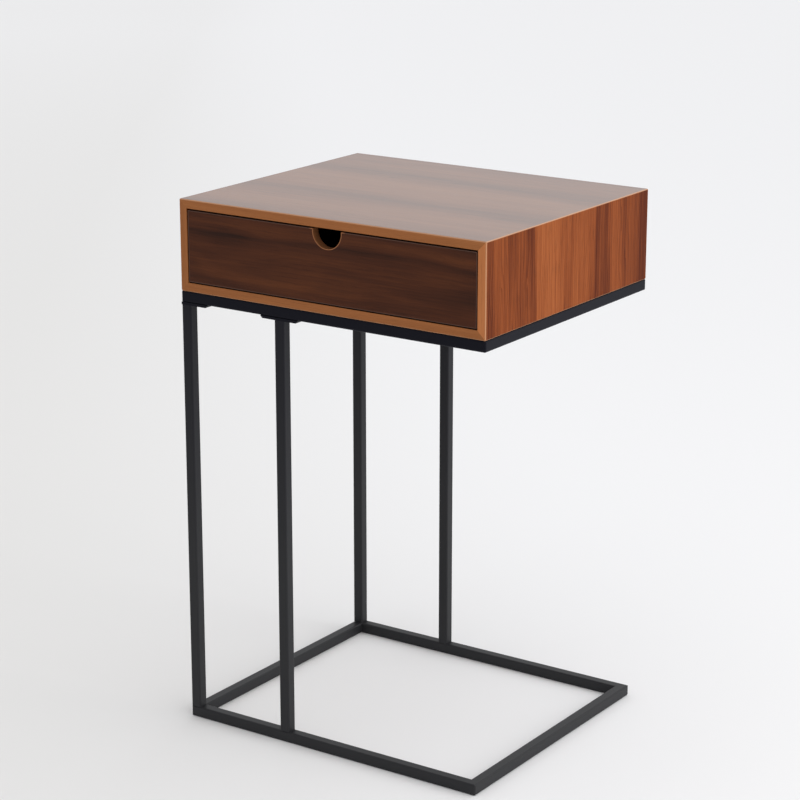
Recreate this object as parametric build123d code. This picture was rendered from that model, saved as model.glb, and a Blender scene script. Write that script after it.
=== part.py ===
from build123d import *
import os

# Side table with one drawer: a wooden box with mitred corners stands on a C-shaped frame of
# square steel tube. The box hangs out over an open right side, and the drawer runs on two
# ball-bearing runners. Millimetres. The origin is on the floor under the middle of the table,
# +Z is up, and the drawer front faces -Y.

# Overall size
WIDTH = 400
DEPTH = 340
HEIGHT = 614

# Steel frame
TUBE = 12.7
TUBE_CORNER = 2.0
TUBE_WALL = 1.2
BASE_WIDTH = 392
BOX_UNDERSIDE = 510
INNER_LEG_X = -65
PLATE = 3
PLATE_END_BEVEL = 2.5
CORNER_PLATE_LENGTH = 36
INNER_PLATE_LENGTH = 50
INNER_PLATE_SCREW_OFFSET = 16.5
CORNER_PLATE_SCREW_X = -175.5

# Wooden box
BOARD = 10
EDGE_BAND = 1.2
EDGE_BEVEL = 1.0
RIM_BEVEL = 0.9
BACK_BOARD = 5
BACK_GROOVE = 4
BACK_INSET = 10

# Drawer
FRONT_BOARD = 10
FRONT_RECESS = 0.5
FRONT_SIDE_GAP = 1.5
FRONT_TOP_GAP = 2.0
FRONT_BOTTOM_GAP = 1.5
FRONT_BAND = 0.8
NOTCH_RADIUS = 18.5
NOTCH_DEPTH = 20.5
DRAWER_BOARD = 9
DRAWER_BOX_BASE = 527
DRAWER_BOX_HEIGHT = 55
DRAWER_BOX_REAR = 140
BOTTOM_SHEET = 3
BOTTOM_SHEET_BASE = 533
BOTTOM_GROOVE = 4

# Ball-bearing runners: each is a cabinet channel, a drawer channel, and a ball cage between them
RUNNER_THICKNESS = 10
RUNNER_HEIGHT = 27
RUNNER_METAL = 1.2
RUNNER_FRONT = -155
RUNNER_LENGTH = 300
RUNNER_MID_Z = DRAWER_BOX_BASE + DRAWER_BOX_HEIGHT / 2
BALL_RADIUS = 1.5
BALL_CLEARANCE = 0.05
RACE_HALF_ANGLE = 65
CHANNEL_LIP = 7.2
CAGE_METAL = 0.6
CAGE_LIP = 5.4
CAGE_GAP = 0.3
CAGE_LENGTH = 75
CAGE_FRONT = -43
BALLS_PER_ROW = 4
BALL_PITCH = 18
RUNNER_SCREW_Y = (-120, 0, 110)

# Fasteners
SCREW_HEAD_RADIUS = 3.0
SCREW_HEAD_HEIGHT = 1.2
SCREW_RADIUS = 1.75
RECESS_SPAN = 3.2
RECESS_WIDTH = 0.8
RECESS_DEPTH = 0.8
RUNNER_SCREW_LENGTH = 8.5
PLATE_SCREW_LENGTH = 8
BOX_SCREW_GRIP = 8
BOX_SCREW_X = 120
BACK_SCREW_LENGTH = 30
BACK_SCREW_Z = (538, 574)
DOWEL_RADIUS = 2.5
DOWEL_LENGTH = 22
DOWEL_IN_FRONT = 7
DOWEL_Z = (545, 575)
CAM_RADIUS = 5
CAM_DEPTH = 7.5
CAM_Z = 560
CAM_SETBACK = 24
CAM_BOLT_THREAD_RADIUS = 2.5
CAM_BOLT_THREAD = 7.5
CAM_BOLT_SHANK_RADIUS = 1.75
CAM_BOLT_HEAD_RADIUS = 2.75
CAM_BOLT_HEAD = 2.5

# Places that follow from the sizes above
HALF_W = WIDTH / 2
HALF_D = DEPTH / 2
BOX_HEIGHT = HEIGHT - BOX_UNDERSIDE
BOX_MID_Z = BOX_UNDERSIDE + BOX_HEIGHT / 2
TOP_FRAME_Z = BOX_UNDERSIDE - TUBE
PLATE_Z = TOP_FRAME_Z - PLATE
TUBE_LINE_X = HALF_W - TUBE / 2
TUBE_LINE_Y = HALF_D - TUBE / 2
BAY_HALF_W = HALF_W - BOARD
BAY_FLOOR = BOX_UNDERSIDE + BOARD
BAY_CEILING = HEIGHT - BOARD
BACK_FACE_Y = HALF_D - BACK_INSET
FRONT_FACE_Y = -HALF_D + FRONT_RECESS
FRONT_BACK_Y = FRONT_FACE_Y + FRONT_BOARD
FRONT_HALF_W = BAY_HALF_W - FRONT_SIDE_GAP
FRONT_BASE = BAY_FLOOR + FRONT_BOTTOM_GAP
FRONT_TOP = BAY_CEILING - FRONT_TOP_GAP
NOTCH_CENTRE_Z = FRONT_TOP - NOTCH_DEPTH + NOTCH_RADIUS
DRAWER_HALF_W = BAY_HALF_W - RUNNER_THICKNESS
DRAWER_INNER_HALF_W = DRAWER_HALF_W - DRAWER_BOARD
DRAWER_BOX_TOP = DRAWER_BOX_BASE + DRAWER_BOX_HEIGHT
DRAWER_BACK_FACE = DRAWER_BOX_REAR - DRAWER_BOARD
RACE_RADIUS = BALL_RADIUS + BALL_CLEARANCE
RACE_OUTER_RADIUS = RACE_RADIUS + RUNNER_METAL
BALL_ROW_U = RUNNER_THICKNESS / 2
BALL_ROW_Z = RUNNER_HEIGHT / 2 - RACE_OUTER_RADIUS


def block(x_range, y_range, z_range):
    """A box between two places on each axis."""
    spans = (x_range, y_range, z_range)
    centre = [(low + high) / 2 for low, high in spans]
    size = [high - low for low, high in spans]
    return Pos(*centre) * Box(*size)


def flat(u_range, v_range):
    """A rectangle between two places on each axis of its plane."""
    centre = Pos(sum(u_range) / 2, sum(v_range) / 2)
    return centre * Rectangle(u_range[1] - u_range[0], v_range[1] - v_range[0])


def cut_all(body, tools):
    """The body with every tool cut from it."""
    for tool in tools:
        body -= tool
    return body


def mitred_side(side, half_u, half_v, thickness):
    """The face of one side of a mitred rectangular ring that is centred on its plane."""
    ends = {
        "low": [(-1, -1), (1, -1)],
        "high": [(1, 1), (-1, 1)],
        "left": [(-1, 1), (-1, -1)],
        "right": [(1, -1), (1, 1)],
    }[side]
    outer = [(u * half_u, v * half_v) for u, v in ends]
    inner = [(u * (half_u - thickness), v * (half_v - thickness)) for u, v in reversed(ends)]
    return make_face(Polyline(*outer, *inner, close=True))


# ---- Fasteners ----

def countersunk_screw(length):
    """A screw whose flat head lies in the XY plane at the origin and whose shank points to +Z."""
    head = Cone(SCREW_HEAD_RADIUS, SCREW_RADIUS, SCREW_HEAD_HEIGHT)
    shank = Cylinder(SCREW_RADIUS, length - SCREW_HEAD_HEIGHT)
    head = Pos(0, 0, SCREW_HEAD_HEIGHT / 2) * head
    return head + Pos(0, 0, (length + SCREW_HEAD_HEIGHT) / 2) * shank


def with_recess(fastener):
    """A fastener with the cross for a screwdriver sunk in the face at its own origin."""
    cross = Rectangle(RECESS_SPAN, RECESS_WIDTH) + Rectangle(RECESS_WIDTH, RECESS_SPAN)
    return fastener - fastener.location * extrude(cross, RECESS_DEPTH, dir=(0, 0, 1))


def screw_along_x(length, x, y, z, direction):
    """A countersunk screw with its head at x, driven towards +X or -X."""
    return Pos(x, y, z) * Rot(0, 90 * direction, 0) * countersunk_screw(length)


def rod_along_y(radius, y_start, y_end, x, z):
    """A round rod between two places on Y."""
    return Pos(x, (y_start + y_end) / 2, z) * Rot(90, 0, 0) * Cylinder(radius, y_end - y_start)


def leg_plate_screws():
    """Six screws that hold the leg plates up against the top frame."""
    screw = countersunk_screw(PLATE_SCREW_LENGTH)
    x_places = (
        CORNER_PLATE_SCREW_X,
        INNER_LEG_X - INNER_PLATE_SCREW_OFFSET,
        INNER_LEG_X + INNER_PLATE_SCREW_OFFSET,
    )
    return [Pos(x, y, PLATE_Z) * screw for x in x_places for y in (-TUBE_LINE_Y, TUBE_LINE_Y)]


def box_fixing_screws():
    """Four screws that hold the box down on the top frame."""
    screw = countersunk_screw(TUBE + BOX_SCREW_GRIP)
    return [Pos(x, y, TOP_FRAME_Z) * screw
            for x in (-BOX_SCREW_X, BOX_SCREW_X) for y in (-TUBE_LINE_Y, TUBE_LINE_Y)]


# ---- Steel frame ----

def square_tube(length):
    """A square tube centred on the Z axis, standing on the XY plane."""
    outline = RectangleRounded(TUBE, TUBE, TUBE_CORNER)
    bore = TUBE - 2 * TUBE_WALL
    return extrude(outline - RectangleRounded(bore, bore, TUBE_CORNER - TUBE_WALL), length)


def corner_waste(half_w):
    """What is ground off the four outer corners of a frame to round them like the tube."""
    waste = []
    for x_sign in (-1, 1):
        for y_sign in (-1, 1):
            x_centre = x_sign * (half_w - TUBE_CORNER)
            y_centre = y_sign * (HALF_D - TUBE_CORNER)
            x_range = sorted((x_centre, x_sign * (half_w + TUBE_CORNER)))
            y_range = sorted((y_centre, y_sign * (HALF_D + TUBE_CORNER)))
            kept = Pos(x_centre, y_centre) * Circle(TUBE_CORNER)
            waste.append(Pos(0, 0, TUBE / 2) * extrude(flat(x_range, y_range) - kept, TUBE, both=True))
    return waste


def mitred_rail(tube, side, half_w):
    """A tube along one side of a frame, cut to its mitres and rounded at the frame's corners."""
    wedge = extrude(mitred_side(side, half_w, HALF_D, TUBE), TUBE, dir=(0, 0, 1))
    return cut_all(tube & wedge, corner_waste(half_w))


def rectangular_frame(width, base_z):
    """The four mitred rails, by side, of a tube frame that stands on base_z, flush at the left."""
    half_w = width / 2
    front_tube = Pos(-half_w, -TUBE_LINE_Y, TUBE / 2) * Rot(0, 90, 0) * square_tube(width)
    left_tube = Pos(TUBE / 2 - half_w, HALF_D, TUBE / 2) * Rot(90, 0, 0) * square_tube(DEPTH)
    front = mitred_rail(front_tube, "low", half_w)
    left = mitred_rail(left_tube, "left", half_w)
    rails = {
        "front": front,
        "rear": mirror(front, Plane.XZ),
        "left": left,
        "right": mirror(left, Plane.YZ),
    }
    return {side: Pos(half_w - HALF_W, 0, base_z) * rail for side, rail in rails.items()}


def leg(x, y):
    """An upright that stands on the base frame and ends under its plate."""
    return Pos(x, y, TUBE) * square_tube(PLATE_Z - TUBE)


def leg_plate(x_start, x_end, y, bevelled_ends):
    """A flat plate on a leg's top, with bevelled lower edges at its free ends."""
    plate = block((x_start, x_end), (y - TUBE / 2, y + TUBE / 2), (PLATE_Z, TOP_FRAME_Z))
    lower_edges = plate.edges().filter_by(Axis.Y).group_by(Axis.Z)[0]
    free = [edge for edge in lower_edges if edge.center().X in bevelled_ends]
    return chamfer(free, PLATE_END_BEVEL)


def steel_frame():
    """The base frame, the four legs with their plates, and the frame under the box."""
    plate_screws = leg_plate_screws()
    box_screws = box_fixing_screws()
    nodes = {"leg_plate_screws": plate_screws, "box_fixing_screws": box_screws}
    for side, rail in rectangular_frame(BASE_WIDTH, 0).items():
        nodes[f"base_{side}_rail"] = rail
    for side, rail in rectangular_frame(WIDTH, TOP_FRAME_Z).items():
        nodes[f"top_frame_{side}_rail"] = cut_all(rail, plate_screws + box_screws)
    for end, y in (("front", -TUBE_LINE_Y), ("rear", TUBE_LINE_Y)):
        nodes[f"leg_{end}_left"] = leg(-TUBE_LINE_X, y)
        nodes[f"leg_{end}_inner"] = leg(INNER_LEG_X, y)
        corner_end = -HALF_W + CORNER_PLATE_LENGTH
        corner_plate = leg_plate(-HALF_W, corner_end, y, (corner_end,))
        inner_ends = (INNER_LEG_X - INNER_PLATE_LENGTH / 2, INNER_LEG_X + INNER_PLATE_LENGTH / 2)
        inner_plate = leg_plate(*inner_ends, y, inner_ends)
        nodes[f"leg_plate_{end}_left"] = cut_all(corner_plate, plate_screws)
        nodes[f"leg_plate_{end}_inner"] = cut_all(inner_plate, plate_screws)
    return nodes


# ---- Wooden box ----

PANEL_SIDES = {"top": "high", "bottom": "low", "left": "left", "right": "right"}
PANEL_NAMES = {
    "top": "top_panel",
    "bottom": "bottom_panel",
    "left": "left_side_panel",
    "right": "right_side_panel",
}


def ring_outline():
    """The box's outline from the front, with bevelled corners and no middle."""
    outer = Rectangle(WIDTH, BOX_HEIGHT)
    outer = chamfer(outer.vertices(), EDGE_BEVEL)
    return outer - Rectangle(2 * BAY_HALF_W, BOX_HEIGHT - 2 * BOARD)


def upright(y, z):
    """The plane of a section drawn from the front: its x is X and its y is Z."""
    return Plane(origin=(0, y, z), x_dir=(1, 0, 0), z_dir=(0, -1, 0))


def box_ring(y_start, y_end):
    """The whole mitred ring of the box between two places on Y."""
    return extrude(upright(y_start, BOX_MID_Z) * ring_outline(), y_end - y_start, dir=(0, 1, 0))


def ring_part(ring, side):
    """The part of the ring that lies between two mitre joints."""
    wedge = mitred_side(PANEL_SIDES[side], HALF_W, BOX_HEIGHT / 2, BOARD)
    return ring & extrude(upright(-HALF_D, BOX_MID_Z) * wedge, DEPTH, dir=(0, 1, 0))


def banded_ring(end):
    """The edge band's ring at the front or rear, its rim bevelled a little less than its corners."""
    if end == "front":
        ring = box_ring(-HALF_D, -HALF_D + EDGE_BAND)
        face = ring.faces().sort_by(Axis.Y)[0]
    else:
        ring = box_ring(HALF_D - EDGE_BAND, HALF_D)
        face = ring.faces().sort_by(Axis.Y)[-1]
    return chamfer(face.outer_wire().edges(), RIM_BEVEL)


def wooden_box(screws):
    """Four mitred panels with edge bands, and a back held in their grooves."""
    back_half_w = BAY_HALF_W + BACK_GROOVE
    back_y = (BACK_FACE_Y - BACK_BOARD, BACK_FACE_Y)
    back_z = (BAY_FLOOR - BACK_GROOVE, BAY_CEILING + BACK_GROOVE)
    back = block((-back_half_w, back_half_w), back_y, back_z)
    nodes = {"back_panel": back}
    panels = box_ring(-HALF_D + EDGE_BAND, HALF_D - EDGE_BAND) - back
    for side, name in PANEL_NAMES.items():
        nodes[name] = cut_all(ring_part(panels, side), screws[side])
    for end in ("front", "rear"):
        band = banded_ring(end)
        for side in PANEL_SIDES:
            nodes[f"{end}_edge_band_{side}"] = ring_part(band, side)
    return nodes


# ---- Runners ----
# A runner's section is drawn for the right side with u from the cabinet's side panel inwards
# and v up from the runner's middle.

def race(v_sign, opening_angle):
    """The curled part of a channel's flange that holds the balls from one side."""
    ring = Circle(RACE_OUTER_RADIUS) - Circle(RACE_RADIUS)
    reach = 2 * RACE_OUTER_RADIUS
    corner = Polyline((0, 0), *[Vector(reach, 0).rotate(Axis.Z, opening_angle + step * RACE_HALF_ANGLE)
                                for step in (-1, 0, 1)], close=True)
    return Pos(BALL_ROW_U, v_sign * BALL_ROW_Z) * (ring & make_face(corner))


def cabinet_section():
    """The outer channel, open towards the drawer, with the balls inside its flanges."""
    half = RUNNER_HEIGHT / 2
    section = flat((0, RUNNER_METAL), (-half, half))
    for sign in (-1, 1):
        flange = sorted((sign * half, sign * (half - RUNNER_METAL)))
        section += flat((0, CHANNEL_LIP), flange)
        section += race(sign, 90 * sign)
    return section


def drawer_section():
    """The inner channel, open towards the cabinet, with the balls outside its flanges."""
    half = BALL_ROW_Z - RACE_RADIUS
    section = flat((RUNNER_THICKNESS - RUNNER_METAL, RUNNER_THICKNESS), (-half, half))
    for sign in (-1, 1):
        flange = sorted((sign * half, sign * (half - RUNNER_METAL)))
        section += flat((RUNNER_THICKNESS - CHANNEL_LIP, RUNNER_THICKNESS), flange)
        section += race(sign, -90 * sign)
    return section


def cage_section():
    """The thin channel that keeps the balls apart."""
    start = RUNNER_METAL + CAGE_GAP
    half = BALL_ROW_Z + CAGE_METAL / 2
    section = flat((start, start + CAGE_METAL), (-half, half))
    for sign in (-1, 1):
        flange = sorted((sign * half, sign * (half - CAGE_METAL)))
        section += flat((start, start + CAGE_LIP), flange)
    return section


def along_runner(section, side_sign, y_start, length):
    """A runner section extruded towards the rear, at its place on one side of the drawer bay."""
    bar = extrude(upright(y_start, 0) * section, length, dir=(0, 1, 0))
    if side_sign > 0:
        bar = mirror(bar, Plane.YZ)
    return Pos(side_sign * BAY_HALF_W, 0, RUNNER_MID_Z) * bar


def ball_places():
    """Where each ball of a cage sits, as Y and Z."""
    first = CAGE_FRONT + (CAGE_LENGTH - BALL_PITCH * (BALLS_PER_ROW - 1)) / 2
    return [(first + BALL_PITCH * row, RUNNER_MID_Z + sign * BALL_ROW_Z)
            for row in range(BALLS_PER_ROW) for sign in (-1, 1)]


def runner(side, side_sign):
    """Both channels, the ball cage, the balls and the screws of one runner."""
    cabinet_face = side_sign * (BAY_HALF_W - RUNNER_METAL)
    drawer_face = side_sign * (DRAWER_HALF_W + RUNNER_METAL)
    cabinet_screws = [screw_along_x(RUNNER_SCREW_LENGTH, cabinet_face, y, RUNNER_MID_Z, side_sign)
                      for y in RUNNER_SCREW_Y]
    drawer_screws = [screw_along_x(RUNNER_SCREW_LENGTH, drawer_face, y, RUNNER_MID_Z, -side_sign)
                     for y in RUNNER_SCREW_Y]
    cabinet_rail = along_runner(cabinet_section(), side_sign, RUNNER_FRONT, RUNNER_LENGTH)
    drawer_rail = along_runner(drawer_section(), side_sign, RUNNER_FRONT, RUNNER_LENGTH)
    cage = along_runner(cage_section(), side_sign, CAGE_FRONT, CAGE_LENGTH)
    ball_x = side_sign * (BAY_HALF_W - BALL_ROW_U)
    for y, z in ball_places():
        cage -= Pos(ball_x, y, z) * Cylinder(RACE_RADIUS, 2 * BALL_RADIUS)
    balls = [Pos(ball_x, y, z) * Sphere(BALL_RADIUS) for y, z in ball_places()]
    return {
        f"{side}_runner_cabinet_rail": cut_all(cabinet_rail, cabinet_screws),
        f"{side}_runner_drawer_rail": cut_all(drawer_rail, drawer_screws),
        f"{side}_runner_ball_cage": cage,
        f"{side}_runner_balls": balls,
        f"{side}_runner_cabinet_screws": cabinet_screws,
        f"{side}_runner_drawer_screws": drawer_screws,
    }


# ---- Drawer ----

def front_outline(inset):
    """The drawer front's outline with its finger notch, drawn smaller all round by the inset."""
    half_w = FRONT_HALF_W - inset
    board = flat((-half_w, half_w), (FRONT_BASE + inset, FRONT_TOP - inset))
    radius = NOTCH_RADIUS + inset
    notch = Pos(0, NOTCH_CENTRE_Z) * Circle(radius)
    notch += flat((-radius, radius), (NOTCH_CENTRE_Z, BAY_CEILING))
    return board - notch


def front_solid(outline):
    """An outline of the drawer front at its full thickness."""
    return extrude(upright(FRONT_FACE_Y, 0) * outline, FRONT_BOARD, dir=(0, 1, 0))


def cam_bolt(x):
    """A bolt from the drawer front into the cam in a drawer side."""
    thread_start = FRONT_BACK_Y - CAM_BOLT_THREAD
    head_end = FRONT_BACK_Y + CAM_SETBACK
    bolt = rod_along_y(CAM_BOLT_THREAD_RADIUS, thread_start, FRONT_BACK_Y, x, CAM_Z)
    bolt += rod_along_y(CAM_BOLT_SHANK_RADIUS, FRONT_BACK_Y, head_end - CAM_BOLT_HEAD, x, CAM_Z)
    return bolt + rod_along_y(CAM_BOLT_HEAD_RADIUS, head_end - CAM_BOLT_HEAD, head_end, x, CAM_Z)


def cam_nut(side_sign):
    """The round cam sunk in the inner face of a drawer side, with its origin on that face."""
    cam = Cylinder(CAM_RADIUS, CAM_DEPTH, align=(Align.CENTER, Align.CENTER, Align.MIN))
    face = Pos(side_sign * DRAWER_INNER_HALF_W, FRONT_BACK_Y + CAM_SETBACK, CAM_Z)
    return face * Rot(0, 90 * side_sign, 0) * cam


def drawer():
    """The drawer front, its box and the fasteners that join them."""
    mid_side_x = DRAWER_INNER_HALF_W + DRAWER_BOARD / 2
    dowels = [rod_along_y(DOWEL_RADIUS, FRONT_BACK_Y - DOWEL_IN_FRONT,
                          FRONT_BACK_Y - DOWEL_IN_FRONT + DOWEL_LENGTH, sign * mid_side_x, z)
              for sign in (-1, 1) for z in DOWEL_Z]
    bolts = [cam_bolt(sign * mid_side_x) for sign in (-1, 1)]
    cam_y = FRONT_BACK_Y + CAM_SETBACK
    bolt_bores = [rod_along_y(CAM_BOLT_HEAD_RADIUS, FRONT_BACK_Y, cam_y, sign * mid_side_x, CAM_Z)
                  for sign in (-1, 1)]
    cams = [cam_nut(sign) for sign in (-1, 1)]
    mid_back_y = DRAWER_BACK_FACE + DRAWER_BOARD / 2
    back_screws = [screw_along_x(BACK_SCREW_LENGTH, sign * DRAWER_HALF_W, mid_back_y, z, -sign)
                   for sign in (-1, 1) for z in BACK_SCREW_Z]
    sheet_half_w = DRAWER_INNER_HALF_W + BOTTOM_GROOVE
    sheet = block((-sheet_half_w, sheet_half_w),
                  (FRONT_BACK_Y - BOTTOM_GROOVE, DRAWER_BACK_FACE + BOTTOM_GROOVE),
                  (BOTTOM_SHEET_BASE, BOTTOM_SHEET_BASE + BOTTOM_SHEET))
    box_z = (DRAWER_BOX_BASE, DRAWER_BOX_TOP)
    back = block((-DRAWER_INNER_HALF_W, DRAWER_INNER_HALF_W), (DRAWER_BACK_FACE, DRAWER_BOX_REAR), box_z)
    core = front_outline(FRONT_BAND)
    nodes = {
        "drawer_front": cut_all(front_solid(core), [sheet, *dowels, *bolts]),
        "drawer_front_edge_band": front_solid(front_outline(0) - core),
        "drawer_back": cut_all(back, [sheet, *back_screws]),
        "drawer_bottom": sheet,
        "drawer_dowels": dowels,
        "drawer_cam_bolts": bolts,
        "drawer_cams": [with_recess(cam) - bore for cam, bore in zip(cams, bolt_bores)],
        "drawer_back_screws": back_screws,
    }
    for side, sign in (("left", -1), ("right", 1)):
        x_range = sorted((sign * DRAWER_INNER_HALF_W, sign * DRAWER_HALF_W))
        board = block(x_range, (FRONT_BACK_Y, DRAWER_BOX_REAR), box_z)
        nodes[f"drawer_side_{side}"] = cut_all(board, [sheet, *dowels, *bolt_bores, *cams, *back_screws])
    return nodes


# ---- Whole table ----

def whole_table():
    """Every piece of the table by name."""
    nodes = steel_frame()
    nodes.update(drawer())
    for side, sign in (("left", -1), ("right", 1)):
        nodes.update(runner(side, sign))
        drawer_side = nodes[f"drawer_side_{side}"]
        nodes[f"drawer_side_{side}"] = cut_all(drawer_side, nodes[f"{side}_runner_drawer_screws"])
    screws = {
        "top": [],
        "bottom": nodes["box_fixing_screws"],
        "left": nodes["left_runner_cabinet_screws"],
        "right": nodes["right_runner_cabinet_screws"],
    }
    nodes.update(wooden_box(screws))
    for name, pieces in nodes.items():
        if name.endswith("_screws"):
            nodes[name] = [with_recess(screw) for screw in pieces]
    return nodes


os.makedirs("parts", exist_ok=True)
for name, shape in whole_table().items():
    if isinstance(shape, list):
        shape = Compound(children=shape)
    export_step(shape, f"parts/{name}.step")
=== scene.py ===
"""The looks of a C-shaped side table with one drawer: walnut box, black steel frame, pale studio."""

import math

import bpy
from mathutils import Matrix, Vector


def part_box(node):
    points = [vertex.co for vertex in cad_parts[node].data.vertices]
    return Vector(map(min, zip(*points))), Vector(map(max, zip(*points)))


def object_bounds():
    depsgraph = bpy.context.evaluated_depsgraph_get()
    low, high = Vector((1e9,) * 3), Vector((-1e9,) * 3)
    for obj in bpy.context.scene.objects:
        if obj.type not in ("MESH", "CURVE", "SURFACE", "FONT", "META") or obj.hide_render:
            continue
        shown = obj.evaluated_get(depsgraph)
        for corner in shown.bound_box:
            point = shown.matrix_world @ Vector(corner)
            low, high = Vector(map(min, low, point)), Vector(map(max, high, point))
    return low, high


# Camera. Angles are in degrees, and azimuth 0 is the front of the table.
CAMERA_AZIMUTH = 34.23
CAMERA_ELEVATION = 15.99
CAMERA_DISTANCE = 2.807
CAMERA_LENS = 110.24
AIM_FROM_CENTRE = Vector((-0.025, 0.005, 0.063))

# Surround, brightest towards the upper right and dimmest opposite it
SKY_AZIMUTH = 125.0
SKY_ELEVATION = 50.0
SKY_DIM = (0.30, 0.30, 0.305)
SKY_BRIGHT = (1.22, 1.225, 1.24)
DIM_FROM = -0.6
BRIGHT_FROM = 0.9
BACKDROP = (0.84, 0.84, 0.845)

# Key light, a square softbox
KEY_AZIMUTH = 98
KEY_ELEVATION = 16
KEY_DISTANCE = 3.2
KEY_SIZE = 2.0
KEY_POWER = 26
KEY_COLOUR = (1.0, 0.99, 0.97)

# Floor, a disc of pale paper with painted light that goes from shaded to lit across the view and into
# the distance
FLOOR_SHADED = (0.785, 0.778, 0.763)
FLOOR_LIT = (0.885, 0.885, 0.89)
FLOOR_RADIUS = 60.0
FLOOR_SIDES = 96
FLOOR_GAP = 0.0002
FLOOR_ACROSS = (-0.75, 0.3)
FLOOR_AWAY = (0.8, 6.0)
FLOOR_AWAY_SHARE = 0.6

# Wood colours, each from its darkest to its lightest grain
TOP_TONES = ((0.115, 0.044, 0.020), (0.205, 0.079, 0.033), (0.290, 0.122, 0.052))
SIDE_TONES = ((0.095, 0.016, 0.003), (0.235, 0.055, 0.012), (0.345, 0.097, 0.026))
FRONT_TONES = ((0.028, 0.010, 0.006), (0.066, 0.020, 0.009), (0.112, 0.034, 0.012))
BAND_TONES = ((0.25, 0.085, 0.025), (0.34, 0.122, 0.037), (0.42, 0.160, 0.052))
BRIGHT_BAND_TONES = ((0.40, 0.132, 0.041), (0.53, 0.188, 0.062), (0.63, 0.240, 0.084))
BOARD_TONES = ((0.060, 0.024, 0.012), (0.125, 0.053, 0.026), (0.200, 0.092, 0.048))
HARDBOARD_TONES = ((0.055, 0.024, 0.011), (0.115, 0.052, 0.025), (0.185, 0.092, 0.046))
BEECH_TONES = ((0.42, 0.25, 0.13), (0.55, 0.35, 0.19), (0.64, 0.43, 0.26))
RIM_TONES = ((0.055, 0.025, 0.017), (0.090, 0.043, 0.030), (0.125, 0.063, 0.046))
NOTCH_WALL = (0.19, 0.075, 0.029, 1.0)
NOTCH_RIM = (0.34, 0.135, 0.055, 1.0)
# Pale colour of the bevels: partly the cut edge's own paler tone, partly a painted highlight on every
# bevel
BEVEL_EDGE_AND_HIGHLIGHT_COLOUR = (0.52, 0.27, 0.15, 1.0)

# Broad streaks of each veneer, as (place across the grain from 0 to 1, tone from 0 to 1)
TOP_STREAKS = (
    (0.0, 0.30), (0.12, 0.72), (0.24, 0.66), (0.34, 0.25), (0.46, 0.70),
    (0.60, 0.78), (0.72, 0.30), (0.84, 0.60), (1.0, 0.40),
)
SIDE_STREAKS = (
    (0.0, 0.32), (0.05, 0.48), (0.12, 0.48), (0.17, 0.34), (0.24, 0.36), (0.268, 0.22),
    (0.285, 0.74), (0.36, 0.86), (0.46, 0.68), (0.50, 0.52), (0.56, 0.64), (0.64, 0.52),
    (0.665, 0.12), (0.69, 0.34), (0.73, 0.20), (0.765, 0.60), (0.80, 0.54), (0.825, 0.26),
    (0.87, 0.46), (0.90, 0.40), (0.945, 0.26), (0.965, 0.06), (1.0, 0.10),
)
FRONT_STREAKS = (
    (0.0, 0.56), (0.14, 0.64), (0.26, 0.46), (0.40, 0.38), (0.52, 0.48), (0.66, 0.34),
    (0.735, 0.12), (0.78, 0.44), (0.86, 0.72), (0.94, 0.52), (1.0, 0.42),
)
EVEN_STREAKS = ((0.0, 0.5), (1.0, 0.5))

# Wood detail. Each pattern swings about so many times per metre (along, across) the grain.
WANDER_PITCH = (5, 14)
CLOUDS_ACROSS = 38
RIBBON_PITCH = (4.5, 230)
LINE_GAP_PITCH = (6, 30)
FIBRE_PITCH = (16, 1000)
PORE_PITCH = (42, 1100)
LINE_SHARPNESS = 2.5
LINES_BENT_BY_WANDER = 9.0
LINES_BENT_BY_CLOUD = 5.0
FIBRE_STRENGTH = 0.45
ROUGHNESS_SWING = 0.14
PORE_EDGES = (0.58, 0.70)
WOOD_RELIEF = 0.00004

# A face turned so that no part of its normal reaches this is a bevel
SQUARE_ON = 0.85
BEVEL_SHARE = 0.85

# How far from the middle of the finger notch its caramel colour starts, and where it is full
CARAMEL_START = 0.024
CARAMEL_FULL = 0.021

# Black powder coat in light and in painted shade, and how far below the box the painted shade deepens
# the black
COAT_IN_LIGHT = (0.0210, 0.0214, 0.0235)
COAT_IN_SHADE = (0.0045, 0.0048, 0.0095)
SHADED_STRETCH = 0.32

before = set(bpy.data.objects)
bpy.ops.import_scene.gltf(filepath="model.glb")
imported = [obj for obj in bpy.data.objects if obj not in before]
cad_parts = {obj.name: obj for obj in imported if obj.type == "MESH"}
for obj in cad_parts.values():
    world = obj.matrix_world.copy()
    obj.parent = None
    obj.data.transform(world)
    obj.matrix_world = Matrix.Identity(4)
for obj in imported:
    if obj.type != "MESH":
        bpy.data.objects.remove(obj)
cad_low, cad_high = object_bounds()


# ---- Node helpers ----

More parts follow.
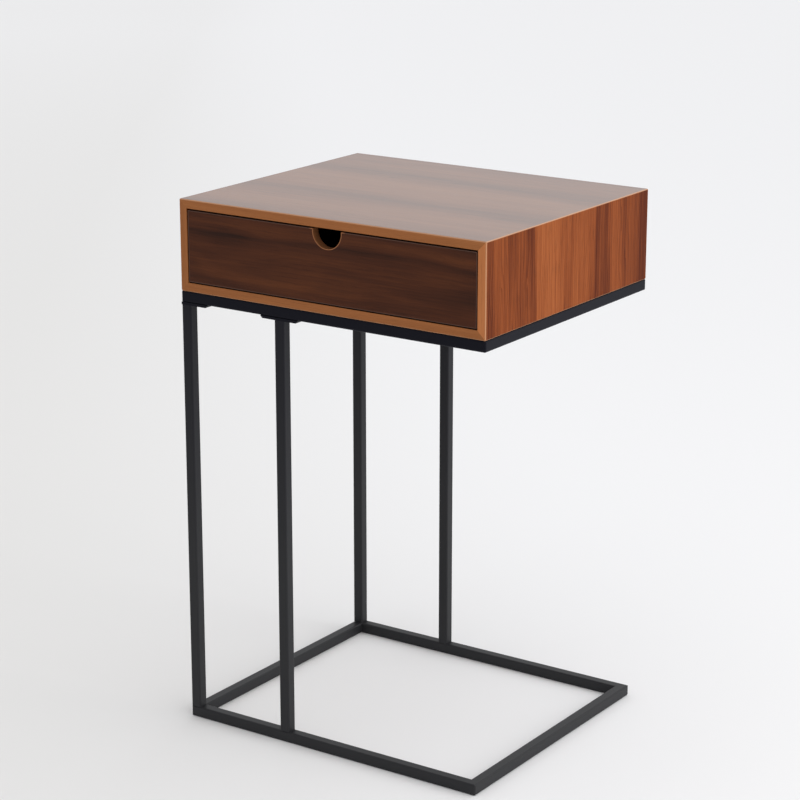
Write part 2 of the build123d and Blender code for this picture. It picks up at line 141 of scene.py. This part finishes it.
class Nodes:
    """A node tree, with short ways to add nodes to it."""

    def __init__(self, tree):
        self.tree = tree

    def fill(self, node, sockets):
        """Sets each input of a node to a value, or links it to a socket.

        An input goes by its name, with _ for a space, or by its number, as _0 for the first.
        """
        for name, value in sockets.items():
            key = int(name[1:]) if name[0] == "_" else name.replace("_", " ")
            if isinstance(value, bpy.types.NodeSocket):
                self.tree.links.new(value, node.inputs[key])
            else:
                node.inputs[key].default_value = value

    def node(self, kind, settings=None, **sockets):
        """A new node of that kind, with its settings and its inputs filled in."""
        made = self.tree.nodes.new("ShaderNode" + kind)
        for name, value in (settings or {}).items():
            setattr(made, name, value)
        self.fill(made, sockets)
        return made

    def math(self, operation, a, b=0.5, c=0.5):
        """The result of a math node on up to three values."""
        return self.node("Math", {"operation": operation}, _0=a, _1=b, _2=c).outputs[0]

    def vector(self, operation, a, b=(0, 0, 0), result="Vector"):
        """The result of a vector math node, which is a vector or, as result Value, a number."""
        return self.node("VectorMath", {"operation": operation}, _0=a, _1=b).outputs[result]

    def place(self):
        """The point being shaded, in metres in the CAD frame at rest."""
        return self.node("TexCoord").outputs["Object"]

    def along(self, way, start, end):
        """How far the point being shaded is along a direction, from 0 at start to 1 at end."""
        reach = self.vector("DOT_PRODUCT", self.place(), way, "Value")
        return self.node("MapRange", Value=reach, From_Min=start, From_Max=end).outputs[0]

    def noise(self, vector, scale, detail=2.0, roughness=0.5, distortion=0.0):
        """A soft noise from 0 to 1 on a vector that is first scaled along each of its axes."""
        made = self.node("TexNoise", Vector=self.vector("MULTIPLY", vector, scale), Scale=1.0,
                         Detail=detail, Roughness=roughness, Distortion=distortion)
        return made.outputs["Fac"]

    def added(self, tone, noise, strength):
        """A tone raised or lowered by a noise that swings evenly about one half."""
        return self.math("MULTIPLY_ADD", self.math("SUBTRACT", noise, 0.5), strength, tone)

    def ramp(self, value, stops, interpolation="LINEAR"):
        """A colour ramp with stops of (place, colour), where a colour may be one grey number."""
        made = self.node("ValToRGB", Fac=value)
        elements = made.color_ramp.elements
        made.color_ramp.interpolation = interpolation
        while len(elements) < len(stops):
            elements.new(0.5)
        for element, (position, colour) in zip(elements, stops):
            parts = (colour,) * 3 if isinstance(colour, (int, float)) else colour
            element.position = position
            element.color = (*parts, 1)
        return made.outputs["Color"]

    def mix(self, share, a, b):
        """Colour a where share is 0 and colour b where it is 1."""
        return self.node("Mix", {"data_type": "RGBA"}, _0=share, _6=a, _7=b).outputs[2]


class Shader(Nodes):
    """A material under construction, with its Principled BSDF as bsdf."""

    def __init__(self, name, **sockets):
        self.material = bpy.data.materials.new(name)
        self.material.use_nodes = True
        super().__init__(self.material.node_tree)
        self.bsdf = self.tree.nodes["Principled BSDF"]
        self.set(**sockets)

    def set(self, **sockets):
        """Sets inputs of the Principled BSDF."""
        self.fill(self.bsdf, sockets)

    def bump(self, height, distance, strength):
        """Gives the surface a relief of that many metres where height goes from 0 to 1."""
        made = self.node("Bump", Strength=strength, Distance=distance, Height=height)
        self.set(Normal=made.outputs["Normal"])


def even(rate):
    """Scales per metre for a pattern that is the same in every direction."""
    return (rate, rate, rate)


def stretched(grain, along, across):
    """Scales per metre for a pattern that runs with the grain axis, 0 for X to 2 for Z."""
    return tuple(along if axis == grain else across for axis in range(3))


# ---- Wood ----

class Wood(Shader):
    """A wood with its grain along one axis and its streaks across another, 0 for X to 2 for Z."""

    def __init__(self, name, grain, across, seed, **sockets):
        super().__init__(name, **sockets)
        self.grain = grain
        self.across = across
        self.spot = self.vector("ADD", self.place(), (seed, seed, seed))
        self.metres_across = self.node("SeparateXYZ", Vector=self.place()).outputs[across]

    def grained(self, pitch, **detail):
        """A noise drawn out along the grain, with a pitch of (along, across) swings per metre."""
        return self.noise(self.spot, stretched(self.grain, *pitch), **detail)

    def streak_tone(self, board, streaks, wander, sway):
        """The tone of the broad streaks, spread over a CAD board and bent by a noise."""
        low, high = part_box(board)
        spread = self.node("MapRange", Value=self.metres_across, From_Min=low[self.across],
                           From_Max=high[self.across]).outputs[0]
        return self.ramp(self.added(spread, wander, sway), streaks)

    def growth_lines(self, pitch, wander, cloud):
        """Thin growth lines, 1 at their darkest, that follow the figure and come and go."""
        lines = self.math("DIVIDE", self.metres_across, pitch)
        lines = self.math("MULTIPLY_ADD", cloud, LINES_BENT_BY_CLOUD, lines)
        lines = self.math("MULTIPLY_ADD", wander, LINES_BENT_BY_WANDER, lines)
        edge = self.math("POWER", self.math("FRACT", lines), LINE_SHARPNESS)
        return self.math("MULTIPLY", edge, self.grained(LINE_GAP_PITCH, detail=1))

    def open_pores(self):
        """1 in the short dark pores along the grain, 0 elsewhere."""
        ticks = self.grained(PORE_PITCH, detail=2, distortion=0.3)
        start, full = PORE_EDGES
        return self.node("MapRange", Value=ticks, From_Min=start, From_Max=full).outputs[0]

    def bevel_mask(self):
        """1 on the narrow bevels that face none of the three axes, 0 elsewhere."""
        normal = self.node("NewGeometry").outputs["True Normal"]
        parts = self.node("SeparateXYZ", Vector=self.vector("ABSOLUTE", normal)).outputs
        widest = self.math("MAXIMUM", self.math("MAXIMUM", parts[0], parts[1]), parts[2])
        return self.math("LESS_THAN", widest, SQUARE_ON)


def wood(name, tones, grain, across, board, streaks=EVEN_STREAKS, figure=0.5, ribbons=0.3, lines=0.2,
         line_pitch=0.0045, pores=0.35, sway=0.11, patches=3.0, bevelled=False, seed=0.0, **sockets):
    """A finished wood, with its streaks spread over a CAD board.

    figure, ribbons, lines and pores say how strong the cloudy figure, the narrow ribbons, the
    growth lines and the open pores are; line_pitch is the growth lines' spacing in metres. sway is
    how far the streaks wander across the board, and patches how often the figure changes per metre
    along the grain. A bevelled wood is paler on its bevels, partly its pale cut edge and partly a
    painted highlight.
    """
    shader = Wood(name, grain, across, seed, **sockets)
    wander = shader.grained(WANDER_PITCH)
    cloud = shader.grained((patches, CLOUDS_ACROSS), detail=3, distortion=0.5)
    ribbon = shader.grained(RIBBON_PITCH, detail=3, roughness=0.6, distortion=0.3)
    fibre = shader.grained(FIBRE_PITCH, detail=4, roughness=0.65)

    tone = shader.streak_tone(board, streaks, wander, sway)
    tone = shader.added(tone, cloud, figure)
    tone = shader.added(tone, ribbon, ribbons)
    tone = shader.math("MULTIPLY_ADD", shader.growth_lines(line_pitch, wander, cloud), -lines, tone)
    tone = shader.added(tone, fibre, FIBRE_STRENGTH)
    colour = shader.ramp(tone, tuple(zip((0.05, 0.5, 0.95), tones)))

    pore = shader.open_pores()
    darker = shader.node("HueSaturation", Value=0.5, Color=colour).outputs[0]
    colour = shader.mix(shader.math("MULTIPLY", pore, pores), colour, darker)
    # Painted highlight, partly the pale cut edge: every bevel takes a pale colour, whichever way the
    # light falls
    if bevelled:
        share = shader.math("MULTIPLY", shader.bevel_mask(), BEVEL_SHARE)
        colour = shader.mix(share, colour, BEVEL_EDGE_AND_HIGHLIGHT_COLOUR)
    smoothest = shader.bsdf.inputs["Roughness"].default_value - ROUGHNESS_SWING / 2
    roughness = shader.math("MULTIPLY_ADD", fibre, ROUGHNESS_SWING, smoothest)
    shader.set(Base_Color=colour, Roughness=roughness)
    shader.bump(shader.math("MULTIPLY_ADD", pore, -0.7, fibre), WOOD_RELIEF, 0.6)
    return shader.material


def hardboard(name):
    """Smooth brown hardboard, flecked with its pressed fibres."""
    shader = Shader(name, Specular_IOR_Level=0.25)
    place = shader.place()
    cloud = shader.noise(place, even(14), detail=3)
    fleck = shader.noise(place, even(420), detail=4, roughness=0.75, distortion=1.5)
    tone = shader.added(shader.added(0.5, cloud, 0.5), fleck, 1.5)
    colour = shader.ramp(tone, tuple(zip((0.1, 0.5, 0.9), HARDBOARD_TONES)))
    shader.set(Base_Color=colour, Roughness=shader.math("MULTIPLY_ADD", fleck, 0.2, 0.42))
    shader.bump(fleck, 0.00006, 0.7)
    return shader.material


def caramel_near_notch(material):
    """Turns a wood caramel in the drawer front's finger notch, and paler on its forward edge."""
    nodes = Nodes(material.node_tree)
    low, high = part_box("drawer_front")
    notch = ((low.x + high.x) / 2, low.y, high.z)
    apart = nodes.vector("DISTANCE", nodes.place(), notch, "Value")
    share = nodes.node("MapRange", Value=apart, From_Min=CARAMEL_START, From_Max=CARAMEL_FULL)
    normal = nodes.node("NewGeometry").outputs["True Normal"]
    forward = nodes.vector("DOT_PRODUCT", normal, (0, -1, 0), "Value")
    caramel = nodes.mix(nodes.math("GREATER_THAN", forward, 0.5), NOTCH_WALL, NOTCH_RIM)
    colour = material.node_tree.nodes["Principled BSDF"].inputs["Base Color"]
    wood_colour = colour.links[0].from_socket
    nodes.tree.links.new(nodes.mix(share.outputs[0], wood_colour, caramel), colour)


# ---- Metal ----

def powder_coat(name, sheen):
    """Semi-matte black powder coat with its fine orange-peel texture; sheen is how much it reflects.

    Its colour holds painted shade: it is painted deeper black near the box, whose shade keeps the
    studio's light off it.
    """
    shader = Shader(name, Specular_IOR_Level=sheen)
    place = shader.place()
    grit = shader.noise(place, even(1500), roughness=0.6)
    peel = shader.noise(place, even(320), detail=1)
    cloud = shader.noise(place, even(9), detail=3)
    box_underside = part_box("bottom_panel")[0].z
    # Painted shade: the coat's colour goes from its lit black to a deeper black towards the box's
    # underside
    painted_shade_share = shader.along((0, 0, 1), box_underside - SHADED_STRETCH, box_underside)
    tone = shader.added(painted_shade_share, cloud, -0.12)
    colour = shader.ramp(tone, ((0.0, COAT_IN_LIGHT), (1.0, COAT_IN_SHADE)))
    shader.set(Base_Color=colour, Roughness=shader.math("MULTIPLY_ADD", grit, 0.16, 0.36))
    shader.bump(shader.math("MULTIPLY_ADD", grit, 0.45, peel), 0.00006, 0.8)
    return shader.material


def plated_steel(name, colour, roughness):
    """Plated steel with a mottled bloom and faint rolling marks that run from front to back."""
    shader = Shader(name, Metallic=1.0)
    place = shader.place()
    rolled = shader.noise(place, stretched(1, 12, 2200), detail=3, roughness=0.6)
    bloom = shader.noise(place, even(160), detail=3)
    dark = tuple(0.72 * part for part in colour)
    shader.set(Base_Color=shader.ramp(bloom, ((0.25, dark), (0.7, colour))),
               Roughness=shader.math("MULTIPLY_ADD", rolled, 0.22, roughness - 0.1))
    shader.bump(rolled, 0.00001, 0.5)
    return shader.material


# ---- Materials on the CAD nodes ----

def paint(material, *nodes):
    """Puts a material on every slot of each node."""
    for name in nodes:
        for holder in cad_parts[name].material_slots:
            holder.material = material


def nodes_with(*words):
    """Every CAD node whose name holds one of the words."""
    return [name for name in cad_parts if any(word in name for word in words)]


def paint_panels():
    """Lacquered walnut on the top and bottom, and plainer walnut with upright grain on the sides."""
    for node in ("top_panel", "bottom_panel"):
        veneer = wood(
            f"{node}_veneer", TOP_TONES, 0, 1, "top_panel", TOP_STREAKS,
            figure=0.45, ribbons=0.6, lines=0.45, patches=4.5, bevelled=True,
            Roughness=0.34, Coat_Weight=0.6, Coat_Roughness=0.22,
        )
        paint(veneer, node)
    for node in ("left_side_panel", "right_side_panel"):
        veneer = wood(
            f"{node}_veneer", SIDE_TONES, 2, 1, node, SIDE_STREAKS,
            figure=0.55, ribbons=0.9, lines=0.5, pores=0.75, bevelled=True, seed=3.0,
            Roughness=0.5, Specular_IOR_Level=0.06,
        )
        paint(veneer, node)


def paint_edge_bands():
    """Caramel wood on the edge bands, brightest on the front one at the right."""
    for node in nodes_with("front_edge_band_", "rear_edge_band_"):
        upright = node.endswith(("_left", "_right"))
        grain, across = (2, 0) if upright else (0, 2)
        tones = BRIGHT_BAND_TONES if node == "front_edge_band_right" else BAND_TONES
        band = wood(
            f"{node}_wood", tones, grain, across, node,
            ribbons=0.6, lines=0.3, line_pitch=0.002, pores=0.4, bevelled=True,
            Roughness=0.45, Specular_IOR_Level=0.15,
        )
        paint(band, node)


def paint_drawer_front():
    """Dark walnut on the drawer front, and its thin rim, which is caramel in the finger notch."""
    veneer = wood(
        "drawer_front_veneer", FRONT_TONES, 0, 2, "drawer_front", FRONT_STREAKS,
        figure=1.3, ribbons=0.45, lines=0.15, pores=0.3, sway=0.24, patches=6.0, seed=1.0,
        Roughness=0.48, Specular_IOR_Level=0.10,
    )
    paint(veneer, "drawer_front")
    rim = wood(
        "drawer_rim", RIM_TONES, 0, 2, "drawer_front",
        figure=0.3, Roughness=0.45, Specular_IOR_Level=0.2,
    )
    caramel_near_notch(rim)
    paint(rim, "drawer_front_edge_band")


def paint_boards():
    """Walnut-look melamine on the drawer's sides and back, hardboard sheets and beech dowels."""
    for node, grain in (("drawer_side_left", 1), ("drawer_side_right", 1), ("drawer_back", 0)):
        melamine = wood(
            f"{node}_melamine", BOARD_TONES, grain, 2, node,
            figure=0.6, ribbons=0.5, pores=0.5, Roughness=0.5, Specular_IOR_Level=0.2,
        )
        paint(melamine, node)
    paint(hardboard("hardboard"), "drawer_bottom", "back_panel")
    paint(wood("beech", BEECH_TONES, 1, 0, "drawer_dowels", figure=0.3, Roughness=0.6), "drawer_dowels")


def paint_metal():
    """Powder coat on the frame, and plated steel on the runners and fasteners."""
    plates = [name for name in nodes_with("leg_plate_") if name != "leg_plate_screws"]
    frame_screws = ("leg_plate_screws", "box_fixing_screws")
    runner_rails = nodes_with("runner_cabinet_rail", "runner_drawer_rail")
    fasteners = nodes_with("_cabinet_screws", "_drawer_screws", "back_screws", "drawer_cam")
    paint(powder_coat("black_powder_coat", 0.20), *nodes_with("base_", "leg_front", "leg_rear"))
    paint(powder_coat("matte_powder_coat", 0.09), *nodes_with("top_frame_"), *plates)
    paint(plated_steel("black_oxide", (0.05, 0.05, 0.055), 0.42), *frame_screws)
    paint(plated_steel("zinc_runner", (0.66, 0.67, 0.70), 0.32), *runner_rails)
    paint(plated_steel("zinc_cage", (0.58, 0.58, 0.56), 0.38), *nodes_with("ball_cage"))
    paint(plated_steel("ball_steel", (0.80, 0.80, 0.82), 0.14), *nodes_with("runner_balls"))
    paint(plated_steel("zinc_fastener", (0.62, 0.61, 0.56), 0.34), *fasteners)


# ---- Studio ----

def direction(azimuth, elevation):
    """The unit vector from the table towards a compass direction; azimuth 0 is the front."""
    turn = math.radians(azimuth)
    rise = math.radians(elevation)
    level = math.cos(rise)
    return Vector((math.sin(turn) * level, -math.cos(turn) * level, math.sin(rise)))


def placed(name, data, aim, way, distance):
    """A camera or light at a distance from the point that it aims at."""
    made = bpy.data.objects.new(name, data)
    bpy.context.scene.collection.objects.link(made)
    made.location = aim + way * distance
    made.rotation_euler = way.to_track_quat("Z", "Y").to_euler()
    return made


def floor_paper():
    """Pale paper with painted light that makes it lighter to the right and into the distance, and clear
    from below.
    """
    shader = Shader("studio_paper", Roughness=0.85)
    behind = shader.node("NewGeometry").outputs["Backfacing"]
    clear = shader.node("BsdfTransparent").outputs[0]
    sheet = shader.node("MixShader", _0=behind, _1=shader.bsdf.outputs[0], _2=clear)
    shader.fill(shader.tree.nodes["Material Output"], {"Surface": sheet.outputs[0]})
    # Painted light and shade: the paper's colour runs from shaded at the left to lit at the right and
    # far away
    across = shader.along(direction(CAMERA_AZIMUTH + 90, 0), *FLOOR_ACROSS)
    away = shader.along(-direction(CAMERA_AZIMUTH, 0), *FLOOR_AWAY)
    share = shader.math("MULTIPLY_ADD", away, FLOOR_AWAY_SHARE, across)
    shader.set(Base_Color=shader.ramp(share, ((0.0, FLOOR_SHADED), (1.0, FLOOR_LIT)), "EASE"))
    return shader.material


def floor():
    """A wide round floor just under the table."""
    mesh = bpy.data.meshes.new("studio_floor")
    turns = [2 * math.pi * side / FLOOR_SIDES for side in range(FLOOR_SIDES)]
    rim = [(FLOOR_RADIUS * math.cos(turn), FLOOR_RADIUS * math.sin(turn), 0) for turn in turns]
    mesh.from_pydata(rim, [], [tuple(range(FLOOR_SIDES))])
    mesh.materials.append(floor_paper())
    made = bpy.data.objects.new("studio_floor", mesh)
    bpy.context.scene.collection.objects.link(made)
    made.location.z = cad_low.z - FLOOR_GAP


def world_light():
    """A pale surround that lights everything softly, most of all from the upper right."""
    world = bpy.data.worlds.new("studio_world")
    world.use_nodes = True
    sky = Nodes(world.node_tree)
    way = sky.node("TexCoord").outputs["Generated"]
    facing = sky.vector("DOT_PRODUCT", way, direction(SKY_AZIMUTH, SKY_ELEVATION), "Value")
    share = sky.node("MapRange", Value=facing, From_Min=DIM_FROM, From_Max=BRIGHT_FROM).outputs[0]
    colour = sky.ramp(share, ((0.0, SKY_DIM), (1.0, SKY_BRIGHT)))
    seen_directly = sky.node("LightPath").outputs["Is Camera Ray"]
    colour = sky.mix(seen_directly, colour, (*BACKDROP, 1))
    sky.fill(world.node_tree.nodes["Background"], {"Color": colour})
    bpy.context.scene.world = world


def key_light():
    """A large square softbox at the right that lights the side panel."""
    data = bpy.data.lights.new("key_light", "AREA")
    data.shape = "SQUARE"
    data.size = KEY_SIZE
    data.energy = KEY_POWER
    data.color = KEY_COLOUR
    centre = (cad_low + cad_high) / 2
    made = placed("key_light", data, centre, direction(KEY_AZIMUTH, KEY_ELEVATION), KEY_DISTANCE)
    made.visible_camera = False


def camera():
    """The camera, at the product view's angle."""
    data = bpy.data.cameras.new("camera")
    data.lens = CAMERA_LENS
    aim = (cad_low + cad_high) / 2 + AIM_FROM_CENTRE
    back = direction(CAMERA_AZIMUTH, CAMERA_ELEVATION)
    bpy.context.scene.camera = placed("camera", data, aim, back, CAMERA_DISTANCE)


paint_panels()
paint_edge_bands()
paint_drawer_front()
paint_boards()
paint_metal()
floor()
world_light()
key_light()
camera()
bpy.context.scene.view_settings.view_transform = "Standard"
